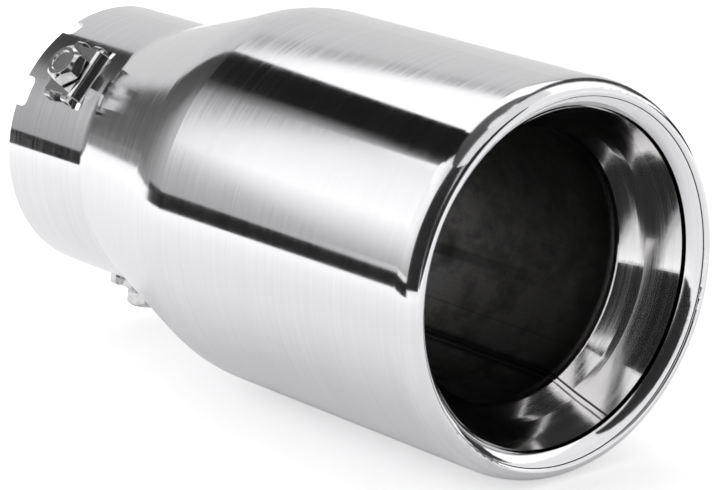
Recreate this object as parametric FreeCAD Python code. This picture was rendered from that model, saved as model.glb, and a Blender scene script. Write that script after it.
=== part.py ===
import FreeCAD, Part
import os
from math import sin, cos, radians, sqrt

V = FreeCAD.Vector

# All sizes are in mm. The tube axis is X and the inlet end lies at x = 0.
# Angles around the tube are counted from the top toward the near side.

# Outer shell, spun from one sheet
total_length = 186.4
body_diameter = 101.6
neck_diameter = 74.0
shell_sheet = 1.2
neck_length = 33.0
flare_angle = 16.7
flare_root_radius = 8.0
shoulder_radius = 46.0
lip_roll_radius = 10.2
lip_roll_angle = 35.0
lip_crown_radius = 1.5
lip_return_slope = 43.8
lip_return_length = 4.5

# Inner tube, narrowed at its rear seat, with a bell of two slopes
tube_sheet = 0.8
seat_angle = 6.0
seat_bend_radius = 8.0
mouth_lift = 0.15
mouth_recess = 1.3
bell_crease_radius = 2.2
bell_rear_angle = 29.6
bell_rear_length = 5.0
bell_bend_radius = 25.8
bell_front_angle = 25.2

# Three clamps around the neck
top_clamp_angle = 46.5
bottom_clamp_angle = 173.5
bracket_sheet = 2.0
bracket_width = 14.9
bracket_rear = 13.0
bracket_front = 26.4
bracket_lift = 0.1
bracket_bend_radius = 2.8
bracket_corner_radius = 0.6
foot_length = 2.4
foot_sheet = 1.6
foot_bend_radius = 1.1

# Openings in the neck wall for each clamp
slot_end_gap = 2.0
slot_side_gap = 0.6
bolt_hole_gap = 0.5
notch_depth = 4.0
near_notch_offset = 13.5
near_notch_width = 8.6
far_notch_offset = -21.7
far_notch_width = 5.4
notch_corner_radius = 1.8

# M6 clamp bolts
bolt_position = 18.6
bolt_diameter = 6.0
bolt_length = 3.9
head_across_flats = 10.0
head_height = 4.0
head_face_radius = 4.3
head_chamfer_height = 1.3
head_dish_radius = 3.3
head_dish_depth = 0.35
head_turn = 10.0
bolt_tip_chamfer = 0.6
top_bolt_gap = 0.6
bottom_bolt_gap = 1.6
far_bolt_gap = 1.1

# Sizes that follow from the ones above
body_radius = body_diameter / 2
neck_radius = neck_diameter / 2
bore_radius = neck_radius - shell_sheet
bracket_height = bracket_lift + bracket_sheet
bracket_top = neck_radius + bracket_height
far_clamp_angle = (top_clamp_angle + bottom_clamp_angle) / 2 + 180
clamp_angles = (top_clamp_angle, bottom_clamp_angle, far_clamp_angle)
roll = radians(lip_roll_angle)
fold = radians(lip_return_slope)
lip_edge_radius = (body_radius - lip_roll_radius * (1 - cos(roll))
                   - lip_crown_radius * (cos(roll) + cos(fold))
                   - lip_return_length * sin(fold))
lip_edge_x = (total_length - lip_crown_radius * (1 - sin(fold))
              - lip_return_length * cos(fold))


def offset_path(start, steps, shift):
    """Edges of a smooth path in the XZ plane, moved sideways by shift.

    The path sets out along X. A step is a straight run (length,) or a
    bend (radius, degrees), where positive degrees turn away from the axis.
    """
    edges = []
    heading = 0.0
    point = V(start[0], 0, start[1] - shift)
    for step in steps:
        ahead = V(cos(heading), 0, sin(heading))
        if len(step) == 1:
            end = point + ahead * step[0]
            edges.append(Part.makeLine(point, end))
        else:
            turn = radians(step[1])
            side = 1 if turn > 0 else -1
            radius = step[0] + side * shift
            inward = V(-sin(heading), 0, cos(heading)) * side
            centre = point + inward * radius
            middle = bend_point(centre, inward, radius, turn / 2)
            end = bend_point(centre, inward, radius, turn)
            edges.append(Part.Arc(point, middle, end).toShape())
            heading += turn
        point = end
    return edges, point


def bend_point(centre, inward, radius, turn):
    """Point of a bend after it has turned by the given angle."""
    x = inward.x * cos(turn) - inward.z * sin(turn)
    z = inward.x * sin(turn) + inward.z * cos(turn)
    return centre - V(x, 0, z) * radius


def sheet_face(start, steps, sheet):
    """Section of a folded sheet whose outer side follows the path."""
    outer, outer_end = offset_path(start, steps, 0)
    inner, inner_end = offset_path(start, steps, sheet)
    first = V(start[0], 0, start[1])
    caps = [Part.makeLine(outer_end, inner_end),
            Part.makeLine(V(start[0], 0, start[1] - sheet), first)]
    edges = outer + [caps[0]] + inner[::-1] + [caps[1]]
    return Part.Face(Part.Wire(Part.__sortEdges__(edges)))


def spun(face):
    """Full turn of a section about the tube axis."""
    return face.revolve(V(0, 0, 0), V(1, 0, 0), 360)


def slope_run(rise, radius_sum, angle):
    """Straight length of a slope between two bends that gains the rise."""
    turn = radians(angle)
    return (rise - radius_sum * (1 - cos(turn))) / sin(turn)


def slope_length(run, radius_sum, angle):
    """Length along the axis taken by a slope and its two bends."""
    turn = radians(angle)
    return radius_sum * sin(turn) + run * cos(turn)


def around(shape, angle):
    """Copy of a shape turned about the tube axis."""
    turned = shape.copy()
    turned.rotate(V(0, 0, 0), V(1, 0, 0), angle)
    return turned


def upright_edges(shape, x):
    """Radial edges of a block that stand at the given x."""
    found = []
    for edge in shape.Edges:
        box = edge.BoundBox
        if box.ZLength > 1 and abs(box.XMin - x) < 0.01 and box.XLength < 0.01:
            found.append(edge)
    return found


def wall_block(x_from, x_to, width):
    """Block that cuts through the neck wall at the top."""
    block = Part.makeBox(x_to - x_from, width, neck_radius / 2,
                         V(x_from, -width / 2, neck_radius * 0.75))
    return block


def notch_cutter(offset, width):
    """Rounded notch in the inlet end, placed beside a clamp."""
    block = wall_block(-notch_depth, notch_depth, width)
    block = block.makeFillet(notch_corner_radius,
                             upright_edges(block, notch_depth))
    return around(block, offset)


def slot_cutter():
    """Cross slot that takes the front flange of a bracket."""
    rear = bracket_front - bracket_sheet - slot_side_gap
    front = bracket_front + slot_side_gap
    return wall_block(rear, front, bracket_width + 2 * slot_end_gap)


def bolt_hole_cutter():
    radius = bolt_diameter / 2 + bolt_hole_gap
    return Part.makeCylinder(radius, neck_radius,
                             V(bolt_position, 0, neck_radius / 2), V(0, 0, 1))


def outer_shell():
    """Neck, flare, body and lip folded inward, spun from one sheet."""
    bends = flare_root_radius + shoulder_radius
    run = slope_run(body_radius - neck_radius, bends, flare_angle)
    slope = slope_length(run, bends, flare_angle)
    lip = (lip_roll_radius * sin(roll)
           + lip_crown_radius * (1 - sin(roll)))
    body_run = total_length - neck_length - slope - lip
    steps = [(neck_length,),
             (flare_root_radius, flare_angle),
             (run,),
             (shoulder_radius, -flare_angle),
             (body_run,),
             (lip_roll_radius, -lip_roll_angle),
             (lip_crown_radius, lip_roll_angle + lip_return_slope - 180),
             (lip_return_length,)]
    shell = spun(sheet_face((0, neck_radius), steps, shell_sheet))
    near = notch_cutter(near_notch_offset, near_notch_width)
    far = notch_cutter(far_notch_offset, far_notch_width)
    cutters = [near, far, slot_cutter(), bolt_hole_cutter()]
    for angle in clamp_angles:
        for cutter in cutters:
            shell = shell.cut(around(cutter, angle))
    return shell


def inner_tube():
    """Tube seated in the root of the flare, with a bell of two slopes."""
    mouth_radius = lip_edge_radius + mouth_lift
    mouth_end = lip_edge_x - mouth_recess
    seat = [(flare_root_radius + shell_sheet, seat_angle),
            (seat_bend_radius, -seat_angle)]
    seat_end = offset_path((neck_length, bore_radius), seat, 0)[1]
    bell = [(bell_crease_radius, bell_rear_angle),
            (bell_rear_length,),
            (bell_bend_radius, bell_front_angle - bell_rear_angle)]
    bell_end = offset_path((0, seat_end.z), bell, 0)[1]
    slope = radians(bell_front_angle)
    front = (mouth_radius - bell_end.z) / sin(slope)
    bell_length = bell_end.x + front * cos(slope)
    straight = mouth_end - seat_end.x - bell_length
    steps = seat + [(straight,)] + bell + [(front,)]
    return spun(sheet_face((neck_length, bore_radius), steps, tube_sheet))


def bracket_foot(x_from):
    """Small foot bent down from the side of the bracket plate."""
    side = bracket_width / 2
    height = bracket_height + neck_radius / 4
    block = Part.makeBox(foot_length, foot_sheet, height,
                         V(x_from, side, bracket_top - height))
    top_edge = [edge for edge in block.Edges
                if edge.BoundBox.XLength > foot_length / 2
                and edge.BoundBox.ZMin > bracket_top - 0.01
                and edge.BoundBox.YMin > side + foot_sheet - 0.01]
    return block.makeFillet(foot_bend_radius, top_edge)


def clamp_bracket():
    """Bent strip: threaded plate, front flange in the slot, four feet."""
    plate = bracket_front - bracket_rear - bracket_bend_radius
    drop = bracket_height + shell_sheet - bracket_bend_radius
    steps = [(plate,), (bracket_bend_radius, -90), (drop,)]
    face = sheet_face((bracket_rear, bracket_top), steps, bracket_sheet)
    strip = face.extrude(V(0, bracket_width, 0))
    strip.translate(V(0, -bracket_width / 2, 0))
    strip = strip.makeFillet(bracket_corner_radius,
                             upright_edges(strip, bracket_rear))
    neck = Part.makeCylinder(neck_radius, bracket_front * 2,
                             V(0, 0, 0), V(1, 0, 0))
    front_foot = bracket_front - bracket_bend_radius - foot_length
    rear_foot = bracket_rear + bracket_corner_radius
    for x_from in (rear_foot, front_foot):
        foot = bracket_foot(x_from)
        mirrored = foot.mirror(V(0, 0, 0), V(0, 1, 0))
        strip = strip.fuse(foot.cut(neck)).fuse(mirrored.cut(neck))
    hole = Part.makeCylinder(bolt_diameter / 2, bracket_height + shell_sheet,
                             V(bolt_position, 0, neck_radius), V(0, 0, 1))
    return strip.cut(hole).removeSplitter()


def bolt_head():
    """Hexagon with a deep round chamfer and a shallow dish on top."""
    corner = head_across_flats / sqrt(3)
    points = [V(corner * cos(radians(60 * i)), corner * sin(radians(60 * i)), 0)
              for i in range(7)]
    prism = Part.Face(Part.makePolygon(points)).extrude(V(0, 0, head_height))
    chamfer_base = head_height - head_chamfer_height
    outline = Part.makePolygon([V(0, 0, 0), V(corner, 0, 0),
                                V(corner, 0, chamfer_base),
                                V(head_face_radius, 0, head_height),
                                V(0, 0, head_height), V(0, 0, 0)])
    turned = Part.Face(outline).revolve(V(0, 0, 0), V(0, 0, 1), 360)
    dish = Part.makeCone(head_dish_radius - head_dish_depth, head_dish_radius,
                         head_dish_depth,
                         V(0, 0, head_height - head_dish_depth), V(0, 0, 1))
    head = prism.common(turned).cut(dish)
    head.rotate(V(0, 0, 0), V(0, 0, 1), 90 + head_turn)
    return head


def clamp_bolt(gap):
    """Bolt screwed through a bracket, its head standing off by the gap."""
    radius = bolt_diameter / 2
    plain = bolt_length - bolt_tip_chamfer
    shank = Part.makeCylinder(radius, plain, V(0, 0, 0), V(0, 0, -1))
    tip = Part.makeCone(radius, radius - bolt_tip_chamfer, bolt_tip_chamfer,
                        V(0, 0, -plain), V(0, 0, -1))
    bolt = bolt_head().fuse(shank).fuse(tip).removeSplitter()
    bolt.translate(V(bolt_position, 0, bracket_top + gap))
    return bolt


def save(shape, name):
    solid = shape.Solids[0] if len(shape.Solids) == 1 else shape
    solid.exportStep(os.path.join("parts", name + ".step"))
    print(name, len(shape.Solids), shape.isValid(), round(shape.Volume, 1))


def main():
    os.makedirs("parts", exist_ok=True)
    save(outer_shell(), "outer_shell")
    save(inner_tube(), "inner_tube")
    bracket = clamp_bracket()
    places = ("top", "bottom", "far")
    gaps = (top_bolt_gap, bottom_bolt_gap, far_bolt_gap)
    for place, gap, angle in zip(places, gaps, clamp_angles):
        save(around(bracket, angle), place + "_clamp_bracket")
        save(around(clamp_bolt(gap), angle), place + "_clamp_bolt")


main()
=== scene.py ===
import bpy
from math import cos, radians, sin
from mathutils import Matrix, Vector


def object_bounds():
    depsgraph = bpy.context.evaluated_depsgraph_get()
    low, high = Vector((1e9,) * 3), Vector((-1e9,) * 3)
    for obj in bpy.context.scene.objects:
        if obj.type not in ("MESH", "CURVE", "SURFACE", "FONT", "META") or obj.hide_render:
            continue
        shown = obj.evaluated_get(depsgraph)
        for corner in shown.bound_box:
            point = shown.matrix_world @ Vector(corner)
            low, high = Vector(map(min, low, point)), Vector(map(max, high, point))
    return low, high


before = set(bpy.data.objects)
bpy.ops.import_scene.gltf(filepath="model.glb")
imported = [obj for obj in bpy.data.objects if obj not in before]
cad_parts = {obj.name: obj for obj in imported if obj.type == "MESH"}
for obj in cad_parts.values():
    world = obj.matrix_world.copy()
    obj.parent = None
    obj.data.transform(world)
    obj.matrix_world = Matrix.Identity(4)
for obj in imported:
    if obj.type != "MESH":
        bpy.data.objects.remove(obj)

cad_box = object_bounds()

MM = 0.001

# The photo's view, in metres, degrees and mm of lens
camera_place = (0.7753, -0.5589, 0.2496)
camera_azimuth = 50.103
camera_elevation = 16.474
camera_lens = 174.3
camera_sensor = 36
camera_reach = 20

# Colours of the steel pieces
shell_colour = (0.80, 0.795, 0.81, 1)
shell_line_colour = (0.75, 0.75, 0.77, 1)
bell_colour = (0.80, 0.79, 0.79, 1)
dull_colour = (0.185, 0.18, 0.175, 1)
stain_colour = (0.085, 0.082, 0.079, 1)
# Darkest tube colour: painted shade in the tube, and its dark streaks
shade_and_streak_colour = (0.018, 0.017, 0.016, 1)
bracket_colour = (0.74, 0.735, 0.74, 1)
bolt_colour = (0.78, 0.77, 0.775, 1)

# Outer shell: lines per metre along the tube and round it
shell_fine_lines = {"Along": 1500.0, "Around": 11.0}
shell_wide_lines = {"Along": 700.0, "Around": 20.0}
shell_line_low = 0.75
shell_line_high = 1.25
shell_line_height = 0.002
shell_line_strength = 0.18
shell_smudges = {"Scale": 28.0, "From": 0.42, "To": 0.70}
shell_smudge_rough = 0.02
shell_rough_low = 0.06
shell_rough_high = 0.11
shell_brushing = 0.93
quarter_turn = 0.25

# Inner side of the lip, between two distances from the axis in mm
lip_inner_start = 46.7
lip_inner_end = 43.5
lip_from = 0.182
lip_bulge = 1.7
lip_bend = 1.54
lip_line_place = 0.06
lip_line_width = 0.035
lip_line_colour = (0.05, 0.05, 0.05, 1)

# Where the inner tube turns from dull to polished, along X
polish_start = 0.1636
polish_end = 0.1652

# Inner tube: stains, drawn lines and roughness
tube_stains = {"Scale": 55.0, "From": 0.46, "To": 0.62}
tube_blots = {"Scale": 170.0, "From": 0.50, "To": 0.62}
tube_blot_strength = 0.55
drawn_lines = {"Along": 12.0, "Around": 40.0}
drawn_line_low = 0.45
drawn_line_high = 0.75
drawn_line_strength = 0.35
drawn_line_height = 0.015
drawn_bump_strength = 0.3
dull_rough_low = 0.34
dull_rough_high = 0.50
bell_lines = {"Along": 1800.0, "Around": 10.0}
bell_line_low = 0.3
bell_line_high = 0.7
bell_rough_low = 0.06
bell_rough_high = 0.13

# Painted shade: a dark ring in the tube just behind the bell, along X
shade_ring_start = 0.152
shade_ring_end = 0.162
shade_ring_strength = 0.65

# Lengthwise weld seam of the inner tube: its place and widths in degrees
seam_angle = 156.6
seam_spread = 1.4
seam_flat = 0.7
seam_rise = 0.12
seam_edge_strength = 0.8

# Dark streaks along the inner tube; the one at the seam is painted shadow
# beside the weld seam. Angle and half width in degrees, and the places
# along X where each is still clear and where it is full
streak_core = 0.35
seam_painted_shadow = {"angle": seam_angle, "width": 5.4, "clear": polish_end,
               "full": polish_start, "strength": 0.95}
side_streak = {"angle": 116.8, "width": 3.6, "clear": 0.156, "full": 0.100,
               "strength": 0.62}
thin_streak = {"angle": 139.0, "width": 0.3, "clear": polish_end,
               "full": polish_start, "strength": 0.55}

# Studio round the object, in metres, with levels of light
paper_colour = (0.93, 0.93, 0.935, 1)
paper_roughness = 0.95
studio_centre = Vector((0.12, 0, 0))
floor_height = cad_box[0][2]
floor_reach = 4.0
world_light = 0.62
background_white = 1.0
seen_floor_lift = 0.45
# Floor glow that metal mirrors, near and far from the object: the lower glow near it is a
# painted shadow
mirrored_lift_near = 0.11
mirrored_lift_far = 0.34
mirrored_near = 0.16
mirrored_far = 0.50
panel_distance = 1.2
panel_steps = 16
lamp_distance = 1.6


def node(tree, kind, values=None, **settings):
    """New node; values go to its named inputs, as numbers or as links."""
    made = tree.nodes.new(kind)
    for name, value in settings.items():
        setattr(made, name, value)
    for name, value in (values or {}).items():
        feed(tree, made.inputs[name], value)
    return made


def feed(tree, socket, value):
    if isinstance(value, bpy.types.NodeSocket):
        tree.links.new(value, socket)
    else:
        socket.default_value = value


def calculated(tree, operation, *values):
    """Result of one Math node."""
    return node(tree, "ShaderNodeMath", dict(enumerate(values)),
                operation=operation).outputs[0]


def vector_result(tree, operation, values, output=0):
    """Result of one Vector Math node."""
    return node(tree, "ShaderNodeVectorMath", values,
                operation=operation).outputs[output]


def spread_values(tree, value, low, high, start=0.0, end=1.0):
    """Value moved from the range start to end to the range low to high."""
    return node(tree, "ShaderNodeMapRange",
                {"Value": value, "From Min": start, "From Max": end,
                 "To Min": low, "To Max": high}).outputs[0]


def smooth_step(tree, value, start, end):
    """Smooth rise from 0 to 1 between two values."""
    return node(tree, "ShaderNodeMapRange",
                {"Value": value, "From Min": start, "From Max": end},
                interpolation_type="SMOOTHSTEP").outputs[0]


def blend_colours(tree, amount, first, second):
    mix = node(tree, "ShaderNodeMix", data_type="RGBA")
    feed(tree, mix.inputs[0], amount)
    feed(tree, mix.inputs[6], first)
    feed(tree, mix.inputs[7], second)
    return mix.outputs[2]


def object_place(tree):
    return node(tree, "ShaderNodeTexCoord").outputs["Object"]


def across_tube(tree, place):
    """The place without its part along the tube."""
    return vector_result(tree, "MULTIPLY", {0: place, 1: (0, 1, 1)})


# Surface effects that the materials share

def new_group(name, inputs, output):
    """Shader node group with number inputs and one number output."""
    tree = bpy.data.node_groups.new(name, "ShaderNodeTree")
    for label in inputs:
        tree.interface.new_socket(label, in_out="INPUT",
                                  socket_type="NodeSocketFloat")
    tree.interface.new_socket(output, in_out="OUTPUT",
                              socket_type="NodeSocketFloat")
    start = tree.nodes.new("NodeGroupInput")
    end = tree.nodes.new("NodeGroupOutput")
    return tree, start, end


def place_group(tree, group, **values):
    made = node(tree, "ShaderNodeGroup", node_tree=group)
    for name, value in values.items():
        made.inputs[name].default_value = value
    return made.outputs[0]


def noise_value(tree, place, scale, detail, roughness):
    return node(tree, "ShaderNodeTexNoise",
                {"Vector": place, "Scale": scale, "Detail": detail,
                 "Roughness": roughness}).outputs["Fac"]


def turning_lines_group():
    """Fine lines that run round the tube, as a lathe and polishing leave."""
    tree, start, end = new_group("turning_lines", ("Along", "Around"),
                                 "Lines")
    stretch = node(tree, "ShaderNodeCombineXYZ",
                   {"X": start.outputs["Along"], "Y": start.outputs["Around"],
                    "Z": start.outputs["Around"]}).outputs[0]
    spread = vector_result(tree, "MULTIPLY",
                           {0: object_place(tree), 1: stretch})
    tree.links.new(noise_value(tree, spread, 1.0, 3.0, 0.65), end.inputs[0])
    return tree


def long_lines_group():
    """Faint lines that run lengthwise, as drawing and wiping leave."""
    tree, start, end = new_group("long_lines", ("Along", "Around"), "Lines")
    place = object_place(tree)
    round_place = vector_result(tree, "NORMALIZE",
                                {0: across_tube(tree, place)})
    around = vector_result(tree, "SCALE",
                           {0: round_place, "Scale": start.outputs["Around"]})
    along = vector_result(tree, "MULTIPLY", {0: place, 1: (1, 0, 0)})
    long_place = vector_result(tree, "SCALE",
                               {0: along, "Scale": start.outputs["Along"]})
    both = vector_result(tree, "ADD", {0: around, 1: long_place})
    tree.links.new(noise_value(tree, both, 1.0, 3.0, 0.6), end.inputs[0])
    return tree


def patches_group():
    """Soft uneven patches, from handling or from heat."""
    tree, start, end = new_group("patches", ("Scale", "From", "To"),
                                 "Patches")
    noise = noise_value(tree, object_place(tree), start.outputs["Scale"],
                        5.0, 0.6)
    tree.links.new(spread_values(tree, noise, 0.0, 1.0,
                                 start.outputs["From"], start.outputs["To"]),
                   end.inputs[0])
    return tree


def grain_group():
    """Close grain of rolled or forged steel."""
    tree, start, end = new_group("grain", ("Scale",), "Grain")
    tree.links.new(noise_value(tree, object_place(tree),
                               start.outputs["Scale"], 4.0, 0.7),
                   end.inputs[0])
    return tree


turning_lines = turning_lines_group()
long_lines = long_lines_group()
patches = patches_group()
grain = grain_group()


# Materials

def empty_tree(holder):
    """Node tree of a material or a world, with nothing in it."""
    holder.use_nodes = True
    holder.node_tree.nodes.clear()
    return holder.node_tree


def steel_material(name):
    material = bpy.data.materials.new(name)
    tree = empty_tree(material)
    steel = node(tree, "ShaderNodeBsdfPrincipled", {"Metallic": 1.0})
    node(tree, "ShaderNodeOutputMaterial", {"Surface": steel.outputs[0]})
    return material, tree, steel


def inner_lip(tree):
    """Height of the lip's rounded inner side, and the line at its start."""
    place = object_place(tree)
    axes = node(tree, "ShaderNodeSeparateXYZ", {0: place})
    reach = vector_result(tree, "LENGTH", {0: across_tube(tree, place)},
                          "Value")
    inward = spread_values(tree, reach, 0.0, 1.0, lip_inner_start * MM,
                           lip_inner_end * MM)
    at_mouth = calculated(tree, "GREATER_THAN", axes.outputs[0], lip_from)
    height = calculated(tree, "MULTIPLY", inward,
                        calculated(tree, "SUBTRACT", lip_bend, inward))
    line = calculated(tree, "COMPARE", inward, lip_line_place,
                      lip_line_width)
    return (calculated(tree, "MULTIPLY", height, at_mouth),
            calculated(tree, "MULTIPLY", line, at_mouth))


def shell_material():
    """Mirror polish over fine turning lines."""
    material, tree, steel = steel_material("polished_shell")
    lines = place_group(tree, turning_lines, **shell_fine_lines)
    wide_lines = place_group(tree, turning_lines, **shell_wide_lines)
    smudges = place_group(tree, patches, **shell_smudges)
    both = calculated(tree, "ADD", lines, wide_lines)
    shade = spread_values(tree, both, 0.0, 1.0, shell_line_low,
                          shell_line_high)
    lined = blend_colours(tree, shade, shell_line_colour, shell_colour)
    lip_height, lip_line = inner_lip(tree)
    feed(tree, steel.inputs["Base Color"],
         blend_colours(tree, lip_line, lined, lip_line_colour))
    rough = spread_values(tree, both, shell_rough_low, shell_rough_high,
                          shell_line_low, shell_line_high)
    smudge = spread_values(tree, smudges, 0.0, shell_smudge_rough)
    feed(tree, steel.inputs["Roughness"],
         calculated(tree, "ADD", rough, smudge))
    steel.inputs["Anisotropic"].default_value = shell_brushing
    steel.inputs["Anisotropic Rotation"].default_value = quarter_turn
    around = node(tree, "ShaderNodeTangent", direction_type="RADIAL", axis="X")
    feed(tree, steel.inputs["Tangent"], around.outputs[0])
    fine = node(tree, "ShaderNodeBump",
                {"Height": lines, "Distance": shell_line_height * MM,
                 "Strength": shell_line_strength})
    rounded = node(tree, "ShaderNodeBump",
                   {"Height": lip_height, "Distance": lip_bulge * MM,
                    "Strength": 1.0, "Normal": fine.outputs[0]})
    feed(tree, steel.inputs["Normal"], rounded.outputs[0])
    return material


def angle_off(tree, turn, angle):
    """How far a place is turned from an angle round the tube."""
    return calculated(tree, "ABSOLUTE",
                      calculated(tree, "SUBTRACT", turn, radians(angle)))


def streak(tree, turn, along, angle, width, clear, full, strength):
    """Soft lengthwise streak that fades in along the tube."""
    near = smooth_step(tree, angle_off(tree, turn, angle), radians(width),
                       radians(width) * streak_core)
    faded = smooth_step(tree, along, clear, full)
    return calculated(tree, "MULTIPLY",
                      calculated(tree, "MULTIPLY", near, faded), strength)


def dull_steel(tree, stains, drawn, turn, along):
    """Colour of the stained steel deep in the tube, with painted shade beside the seam and
    behind the bell.
    """
    blots = calculated(tree, "MULTIPLY",
                       place_group(tree, patches, **tube_blots),
                       tube_blot_strength)
    lines = spread_values(tree, drawn, 0.0, drawn_line_strength,
                          drawn_line_low, drawn_line_high)
    colour = blend_colours(tree, stains, dull_colour, stain_colour)
    colour = blend_colours(tree, blots, colour, stain_colour)
    colour = blend_colours(tree, lines, colour, stain_colour)
    # Dark streaks; the one at the seam is a painted shadow
    for values in (seam_painted_shadow, side_streak, thin_streak):
        darkening = streak(tree, turn, along, **values)
        colour = blend_colours(tree, darkening, colour, shade_and_streak_colour)
    # Painted shade: the tube turns darker towards the bell's crease
    shade_ring = calculated(tree, "MULTIPLY",
                      smooth_step(tree, along, shade_ring_start, shade_ring_end),
                      shade_ring_strength)
    return blend_colours(tree, shade_ring, colour, shade_and_streak_colour)


def tube_material():
    """Dull stained steel deep in the tube, polished at the bell."""
    material, tree, steel = steel_material("tube_steel")
    axes = node(tree, "ShaderNodeSeparateXYZ", {0: object_place(tree)})
    along = axes.outputs[0]
    turn = calculated(tree, "ARCTAN2", axes.outputs[1], axes.outputs[2])
    polish = smooth_step(tree, along, polish_start, polish_end)
    stains = place_group(tree, patches, **tube_stains)
    drawn = place_group(tree, long_lines, **drawn_lines)
    lines = place_group(tree, turning_lines, **bell_lines)
    off_seam = angle_off(tree, turn, seam_angle)
    seam = smooth_step(tree, off_seam, radians(seam_spread),
                       radians(seam_flat))
    seam_edge = calculated(tree, "COMPARE", off_seam, radians(seam_spread),
                           radians(seam_flat / 2))
    bare = blend_colours(tree, polish,
                         dull_steel(tree, stains, drawn, turn, along),
                         bell_colour)
    dark_edge = calculated(tree, "MULTIPLY", seam_edge, seam_edge_strength)
    feed(tree, steel.inputs["Base Color"],
         blend_colours(tree, dark_edge, bare, stain_colour))
    rough_dull = spread_values(tree, stains, dull_rough_low, dull_rough_high)
    rough_bell = spread_values(tree, lines, bell_rough_low, bell_rough_high,
                               bell_line_low, bell_line_high)
    rough = node(tree, "ShaderNodeMix",
                 {0: polish, 2: rough_dull, 3: rough_bell})
    feed(tree, steel.inputs["Roughness"], rough.outputs[0])
    drawn_bump = node(tree, "ShaderNodeBump",
                      {"Height": drawn, "Distance": drawn_line_height * MM,
                       "Strength": drawn_bump_strength})
    seam_bump = node(tree, "ShaderNodeBump",
                     {"Height": seam, "Distance": seam_rise * MM,
                      "Strength": 1.0, "Normal": drawn_bump.outputs[0]})
    feed(tree, steel.inputs["Normal"], seam_bump.outputs[0])
    return material


def grained_steel(name, colour, worn_shade, worn_patches, rough, grain_scale,
                  grain_height, grain_strength, edge):
    """Steel with a close grain, worn patches and slightly rounded edges."""
    material, tree, steel = steel_material(name)
    close = place_group(tree, grain, Scale=grain_scale)
    worn = place_group(tree, patches, **worn_patches)
    dark = tuple(channel * worn_shade for channel in colour[:3]) + (1,)
    feed(tree, steel.inputs["Base Color"],
         blend_colours(tree, worn, colour, dark))
    feed(tree, steel.inputs["Roughness"], spread_values(tree, worn, *rough))
    soft = node(tree, "ShaderNodeBevel", {"Radius": edge * MM}, samples=6)
    bump = node(tree, "ShaderNodeBump",
                {"Height": close, "Distance": grain_height * MM,
                 "Strength": grain_strength, "Normal": soft.outputs[0]})
    feed(tree, steel.inputs["Normal"], bump.outputs[0])
    return material


def bracket_material():
    """Smooth pressed steel with a faint rolled grain."""
    return grained_steel("bracket_steel", bracket_colour, worn_shade=0.8,
                         worn_patches={"Scale": 180.0, "From": 0.4,
                                       "To": 0.7},
                         rough=(0.09, 0.18), grain_scale=1400.0,
                         grain_height=0.01, grain_strength=0.35, edge=0.35)


def bolt_material():
    """Bright forged steel with darker worn patches."""
    return grained_steel("bolt_steel", bolt_colour, worn_shade=0.72,
                         worn_patches={"Scale": 260.0, "From": 0.42,
                                       "To": 0.66},
                         rough=(0.08, 0.18), grain_scale=900.0,
                         grain_height=0.012, grain_strength=0.4, edge=0.30)


def dress(names, material):
    for name in names:
        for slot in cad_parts[name].material_slots:
            slot.material = material


# Studio

def add_object(name, data):
    made = bpy.data.objects.new(name, data)
    bpy.context.scene.collection.objects.link(made)
    return made


def glow_material():
    """Light as strong as the level stored on the panel's corners."""
    material = bpy.data.materials.new("panel_glow")
    tree = empty_tree(material)
    level = node(tree, "ShaderNodeAttribute", attribute_name="level")
    glow = node(tree, "ShaderNodeEmission",
                {"Strength": level.outputs["Fac"]})
    node(tree, "ShaderNodeOutputMaterial", {"Surface": glow.outputs[0]})
    return material


def studio_point(azimuth, elevation, distance):
    """Point seen from the object at an azimuth counted from behind it."""
    turn = radians(camera_azimuth - azimuth)
    rise = radians(elevation)
    away = Vector((-sin(turn) * cos(rise), cos(turn) * cos(rise), sin(rise)))
    return studio_centre + away * distance


def between(corners, across, up):
    """Value inside four corners: low left, low right, top right, top left."""
    low = corners[0] * (1 - across) + corners[1] * across
    top = corners[3] * (1 - across) + corners[2] * across
    return low * (1 - up) + top * up


def panel(name, azimuths, elevations, levels, distance=panel_distance):
    """Curved studio panel that only reflections see.

    Its azimuths, elevations and levels of light are given at its corners.
    """
    row = panel_steps + 1
    points = []
    glows = []
    for i in range(row):
        for j in range(row):
            spot = (i / panel_steps, j / panel_steps)
            points.append(studio_point(between(azimuths, *spot),
                                       between(elevations, *spot), distance))
            glows.append(between(levels, *spot))
    corners = [i * row + j for i in range(panel_steps)
               for j in range(panel_steps)]
    mesh = bpy.data.meshes.new(name)
    mesh.from_pydata(points, [], [(first, first + 1, first + row + 1,
                                   first + row) for first in corners])
    stored = mesh.attributes.new("level", "FLOAT", "POINT")
    stored.data.foreach_set("value", glows)
    mesh.materials.append(panel_glow)
    card = add_object(name, mesh)
    card.visible_camera = False
    card.visible_diffuse = False
    card.visible_shadow = False
    card.visible_transmission = False


def sides(left, right):
    """Corner azimuths of a panel with upright sides."""
    return (left, right, right, left)


def heights(low, top):
    """Corner elevations of a panel with a level foot and top."""
    return (low, low, top, top)


def even(level):
    return (level,) * 4


def hang_left_panels():
    """Light on the near side, and the shade round it."""
    panel("left_light_low", (-119, -87, -75.5, -119), heights(3, 20),
          (0.5, 0.52, 1.4, 1.0), distance=1.10)
    panel("left_light", (-119, -75.5, -64.5, -119), (20, 20, 39.5, 42),
          (1.0, 1.4, 1.1, 1.2), distance=1.10)
    panel("left_light_top", (-119, -64.5, -84, -119), (42, 39.5, 57, 57),
          (1.2, 1.35, 1.2, 0.8), distance=1.10)
    panel("left_halo", (-88, -54, -55, -68), heights(0, 41),
          (0.55, 0.24, 0.02, 0.90))
    panel("left_halo_foot", sides(-76, -42), heights(-2.5, 0.5),
          (0.37, 0.25, 0.26, 0.40), distance=1.15)
    panel("left_edge_dark", sides(-128, -68.5), heights(-6, 1.2), even(0.02),
          distance=0.56)
    panel("front_left_dark", (-151, -120, -120, -158), heights(-4, 60),
          even(0.02))


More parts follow.
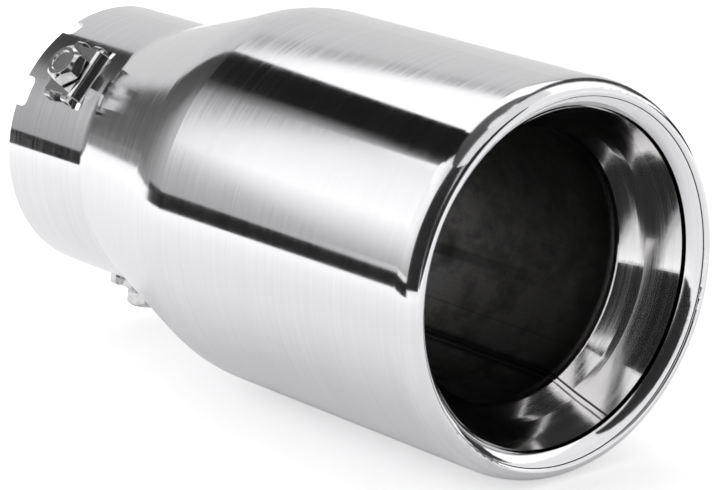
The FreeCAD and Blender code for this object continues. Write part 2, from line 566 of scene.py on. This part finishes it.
def hang_back_panels():
    """Light from behind and above, with dark gaps between."""
    panel("back_left_shade", (-60, -37, -33, -60), heights(0.5, 38),
          (0.26, 0.10, 0.05, 0.10), distance=1.25)
    panel("top_left_dark", (-75, -28, -50, -90), heights(38, 62), even(0.01),
          distance=1.25)
    panel("top_light", (-34, 17, 17, -56), heights(40, 62), even(1.4),
          distance=1.15)
    panel("light_rim", sides(-33, 20), heights(35.5, 40), even(0.50))
    panel("back_paper", sides(-42, 20), heights(-3, 40),
          (0.80, 0.80, 0.68, 0.68), distance=1.3)


def hang_right_panels():
    """Light and dark that the lip and the bell mirror."""
    panel("right_dark", sides(18.5, 31), heights(-3, 75), even(0.03),
          distance=1.12)
    panel("right_light", sides(32, 84), heights(9, 60), even(1.35))
    panel("right_edge_dark", sides(31, 84), heights(-3, 8), even(0.05),
          distance=1.1)
    panel("ceiling_dark", sides(-142, 18), heights(60, 84),
          (0.06, 0.17, 0.17, 0.06), distance=1.4)
    panel("camera_dark", (146, 196, 200, 104), heights(-3, 60), even(0.03),
          distance=1.4)
    panel("overhead_light", sides(22, 204), heights(62, 84), even(0.9),
          distance=1.4)


def floor_material():
    """Pale paper, pale where seen; mirrored, it glows less near the object, a painted
    shadow.
    """
    material = bpy.data.materials.new("paper_floor")
    tree = empty_tree(material)
    paper = node(tree, "ShaderNodeBsdfPrincipled",
                 {"Base Color": paper_colour, "Roughness": paper_roughness,
                  "Specular IOR Level": 0.0})
    path = node(tree, "ShaderNodeLightPath")
    reach = vector_result(tree, "DISTANCE",
                          {0: object_place(tree), 1: studio_centre}, "Value")
    # Less glow near the object in reflections: a painted shadow round it
    mirrored_lift = spread_values(tree, reach, mirrored_lift_near,
                                  mirrored_lift_far, mirrored_near,
                                  mirrored_far)
    mirrored = calculated(tree, "MULTIPLY", path.outputs["Is Glossy Ray"],
                          mirrored_lift)
    seen = calculated(tree, "MULTIPLY", path.outputs["Is Camera Ray"],
                      seen_floor_lift)
    glow = node(tree, "ShaderNodeEmission",
                {"Strength": calculated(tree, "ADD", mirrored, seen)})
    both = node(tree, "ShaderNodeAddShader",
                {0: paper.outputs[0], 1: glow.outputs[0]})
    node(tree, "ShaderNodeOutputMaterial", {"Surface": both.outputs[0]})
    return material


def lay_floor():
    corners = [(-floor_reach, -floor_reach), (floor_reach, -floor_reach),
               (floor_reach, floor_reach), (-floor_reach, floor_reach)]
    mesh = bpy.data.meshes.new("floor")
    mesh.from_pydata([(x, y, floor_height) for x, y in corners], [],
                     [(0, 1, 2, 3)])
    mesh.materials.append(floor_material())
    add_object("floor", mesh)


def light_world():
    """Even soft light, white where it is seen, mirrored or seen through."""
    world = bpy.data.worlds.new("studio")
    bpy.context.scene.world = world
    tree = empty_tree(world)
    path = node(tree, "ShaderNodeLightPath")
    shown = calculated(tree, "MAXIMUM", path.outputs["Is Camera Ray"],
                       path.outputs["Is Glossy Ray"])
    shown = calculated(tree, "MAXIMUM", shown,
                       path.outputs["Is Transmission Ray"])
    level = spread_values(tree, shown, world_light, background_white)
    back = node(tree, "ShaderNodeBackground",
                {"Color": (1, 1, 1, 1), "Strength": level})
    node(tree, "ShaderNodeOutputWorld", {"Surface": back.outputs[0]})


def soft_lamp(name, azimuth, elevation, size, power):
    """Large soft lamp that lights but isn't mirrored."""
    data = bpy.data.lights.new(name, "AREA")
    data.shape = "SQUARE"
    data.size = size
    data.energy = power
    lamp = add_object(name, data)
    lamp.location = studio_point(azimuth, elevation, lamp_distance)
    aim = studio_centre - lamp.location
    lamp.rotation_euler = aim.to_track_quat("-Z", "Y").to_euler()
    lamp.visible_glossy = False


def set_camera():
    data = bpy.data.cameras.new("camera")
    data.lens = camera_lens
    data.sensor_width = camera_sensor
    data.clip_end = camera_reach
    camera = add_object("camera", data)
    camera.location = camera_place
    camera.rotation_euler = (radians(90 - camera_elevation), 0,
                             radians(camera_azimuth))
    bpy.context.scene.camera = camera


panel_glow = glow_material()
light_world()
lay_floor()
soft_lamp("top_lamp", azimuth=-5, elevation=65, size=1.4, power=8.5)
soft_lamp("left_lamp", azimuth=-100, elevation=28, size=1.2, power=6)
hang_left_panels()
hang_back_panels()
hang_right_panels()
set_camera()

dress(["outer_shell"], shell_material())
dress(["inner_tube"], tube_material())
dress(["top_clamp_bracket", "bottom_clamp_bracket", "far_clamp_bracket"],
      bracket_material())
dress(["top_clamp_bolt", "bottom_clamp_bolt", "far_clamp_bolt"],
      bolt_material())

bpy.context.scene.view_settings.view_transform = "Standard"
